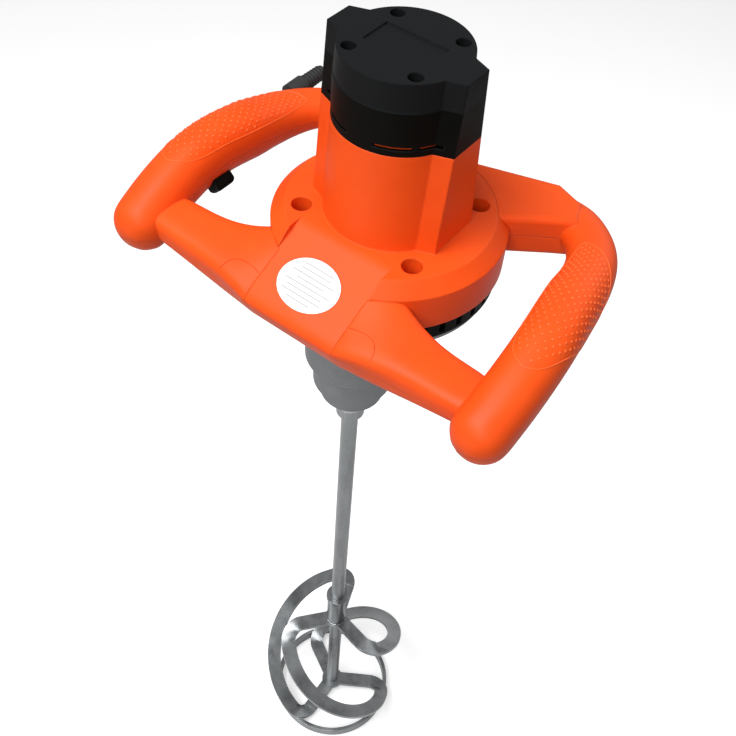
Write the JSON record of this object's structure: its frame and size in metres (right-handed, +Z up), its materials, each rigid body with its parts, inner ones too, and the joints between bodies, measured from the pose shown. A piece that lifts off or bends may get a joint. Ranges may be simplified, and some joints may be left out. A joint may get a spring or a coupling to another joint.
{
  "type": "mixing drill",
  "caption": "Hand-held mixing drill: upright motor and offset gearbox in a closed ring handle frame, driving a long rod with a ribbon mixing paddle.",
  "frame": {"origin": "on the spindle axis, at the lower face of the gearbox nose", "axes": "+Z up along the spindle axis towards the motor cap, +Y to the motor's side of the spindle, +X to the tool's right"},
  "size_m": [0.341, 0.2243, 0.912],
  "materials": {
    "orange_plastic": "satin moulded",
    "black_plastic": "fine texture",
    "grey_plastic": "plain",
    "cast_aluminium": "cast",
    "paddle_steel": "welded, zinc plated",
    "machined_steel": "machined",
    "screw_steel": "blackened",
    "copper": "enamelled wire",
    "brass": "pressed",
    "carbon": "carbon",
    "black_rubber": "moulded",
    "white_label": "printed film, bare"
  },
  "bodies": {
    "housing": {"bearing_plate": "cast_aluminium", "brush_holders": "brass", "cable_gland": "black_rubber", "cap_screws": "screw_steel", "carbon_brushes": "carbon", "dial_pin": "machined_steel", "field_coils": "copper", "gear_case": "cast_aluminium", "gear_case_screws": "screw_steel", "handle_left_lower": "orange_plastic", "handle_left_upper": "orange_plastic", "handle_right_lower": "orange_plastic", "handle_right_upper": "orange_plastic", "handle_screws": "screw_steel", "housing_screws": "screw_steel", "label_plate": "white_label", "layshaft_bearing_low": "machined_steel", "layshaft_bearing_top": "machined_steel", "motor_bearing_low": "machined_steel", "motor_bearing_top": "machined_steel", "motor_cap": "black_plastic", "motor_housing": "orange_plastic", "oil_seal": "black_rubber", "speed_module": "grey_plastic", "spindle_bearing_low": "machined_steel", "spindle_bearing_top": "machined_steel", "stator_core": "machined_steel", "switch_body": "grey_plastic", "vent_ring": "black_plastic"},
    "armature": {"armature_shaft": "machined_steel", "armature_core": "machined_steel", "armature_winding": "copper", "commutator": "copper", "fan": "black_plastic"},
    "layshaft": {"layshaft": "machined_steel", "first_gear": "machined_steel"},
    "spindle": {"spindle": "machined_steel", "output_gear": "machined_steel", "spindle_key": "machined_steel", "circlip": "machined_steel", "paddle_rod": "paddle_steel", "paddle_hub": "paddle_steel", "paddle_arms": "paddle_steel", "paddle_ribbon_1": "paddle_steel", "paddle_ribbon_2": "paddle_steel", "paddle_ribbon_3": "paddle_steel", "paddle_spokes": "paddle_steel", "paddle_hoop": "paddle_steel"},
    "trigger": {"trigger": "black_plastic"},
    "speed_dial": {"speed_dial": "black_plastic"}
  },
  "joints": [
    {"name": "armature_spin", "type": "hinge", "parent": "housing", "child": "armature", "pos_m": [0, 0.0334, 0.2], "axis": [0, 0, 1], "continuous": true},
    {"name": "layshaft_spin", "type": "hinge", "parent": "housing", "child": "layshaft", "pos_m": [-0.03006, 0.02485, 0.07], "axis": [0, 0, 1], "continuous": true},
    {"name": "spindle_spin", "type": "hinge", "parent": "housing", "child": "spindle", "pos_m": [0, 0, 0], "axis": [0, 0, 1], "continuous": true},
    {"name": "trigger_pull", "type": "slide", "parent": "housing", "child": "trigger", "axis": [-0.7071, 0, 0.7071], "range_m": [0, 0.005], "stiffness_N_per_m": 900, "springref_m": -0.003},
    {"name": "speed_dial_turn", "type": "hinge", "parent": "housing", "child": "speed_dial", "pos_m": [0.13985, 0.002, 0.15205], "axis": [0, 1, 0], "range_deg": [-135, 135]}
  ],
  "couplings": [
    {"joint": "layshaft_spin", "follows": "armature_spin", "ratio": -0.21951},
    {"joint": "spindle_spin", "follows": "armature_spin", "ratio": 0.052265}
  ]
}
